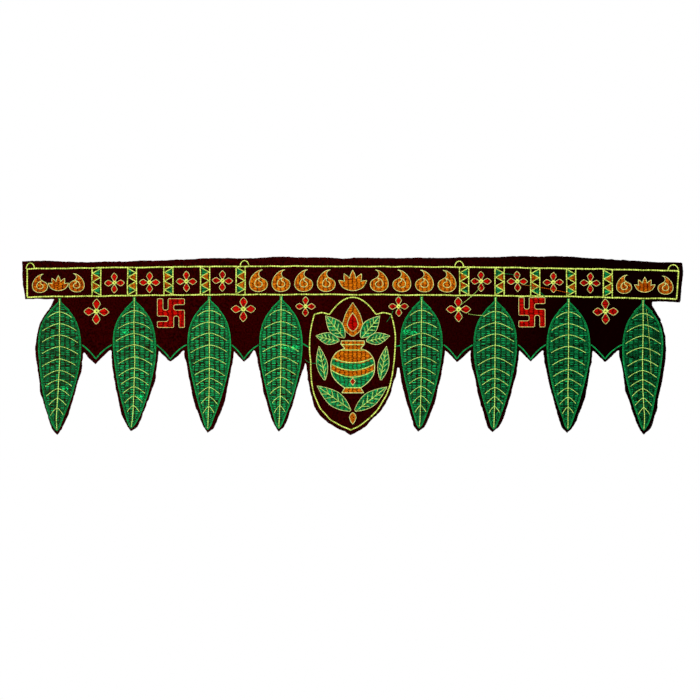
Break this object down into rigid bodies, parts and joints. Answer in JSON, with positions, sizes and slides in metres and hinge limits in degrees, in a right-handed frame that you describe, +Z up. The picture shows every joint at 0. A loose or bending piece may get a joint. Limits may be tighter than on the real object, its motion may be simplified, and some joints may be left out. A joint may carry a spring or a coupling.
{
  "type": "door hanging",
  "caption": "Velvet toran for the top of a doorway: an embroidered band with hanging mango leaves and a shield-shaped medallion.",
  "frame": {"origin": "middle of the velvet's top edge, in the middle of its thickness", "axes": "+X along the lintel to the viewer's right, +Z up, the embroidered front faces -Y"},
  "size_m": [0.966, 0.0096, 0.2615],
  "materials": {
    "velvet": "matte",
    "gold_thread": "satin",
    "green_thread": "satin",
    "red_thread": "satin",
    "orange_thread": "satin"
  },
  "bodies": {
    "root": {"band_bud": "orange_thread", "border_lines": "gold_thread", "end_bud_1": "orange_thread", "end_bud_2": "orange_thread", "end_paisley_1": "orange_thread", "end_paisley_2": "orange_thread", "end_paisley_3": "orange_thread", "end_paisley_4": "orange_thread", "flower_1": "red_thread", "flower_10": "red_thread", "flower_11": "red_thread", "flower_12": "red_thread", "flower_13": "red_thread", "flower_14": "red_thread", "flower_2": "red_thread", "flower_3": "red_thread", "flower_4": "red_thread", "flower_5": "red_thread", "flower_6": "red_thread", "flower_7": "red_thread", "flower_8": "red_thread", "flower_9": "red_thread", "leaf_1": "green_thread", "leaf_2": "green_thread", "leaf_3": "green_thread", "leaf_4": "green_thread", "leaf_5": "green_thread", "leaf_6": "green_thread", "leaf_7": "green_thread", "leaf_8": "green_thread", "paisley_1": "orange_thread", "paisley_2": "orange_thread", "paisley_3": "orange_thread", "paisley_4": "orange_thread", "paisley_5": "orange_thread", "paisley_6": "orange_thread", "paisley_7": "orange_thread", "paisley_8": "orange_thread", "pot": "orange_thread", "pot_bud": "red_thread", "pot_drop": "orange_thread", "pot_leaf_lower_left": "green_thread", "pot_leaf_lower_right": "green_thread", "pot_leaf_middle_left": "green_thread", "pot_leaf_middle_right": "green_thread", "pot_leaf_side_left": "green_thread", "pot_leaf_side_right": "green_thread", "pot_leaf_upper_left": "green_thread", "pot_leaf_upper_right": "green_thread", "shield_line": "gold_thread", "sign_left": "red_thread", "sign_right": "red_thread", "velvet_panel": "velvet", "web_line_1": "green_thread", "web_line_2": "green_thread", "web_line_3": "green_thread", "web_line_4": "green_thread", "web_line_5": "green_thread", "web_line_6": "green_thread"}
  },
  "joints": []
}
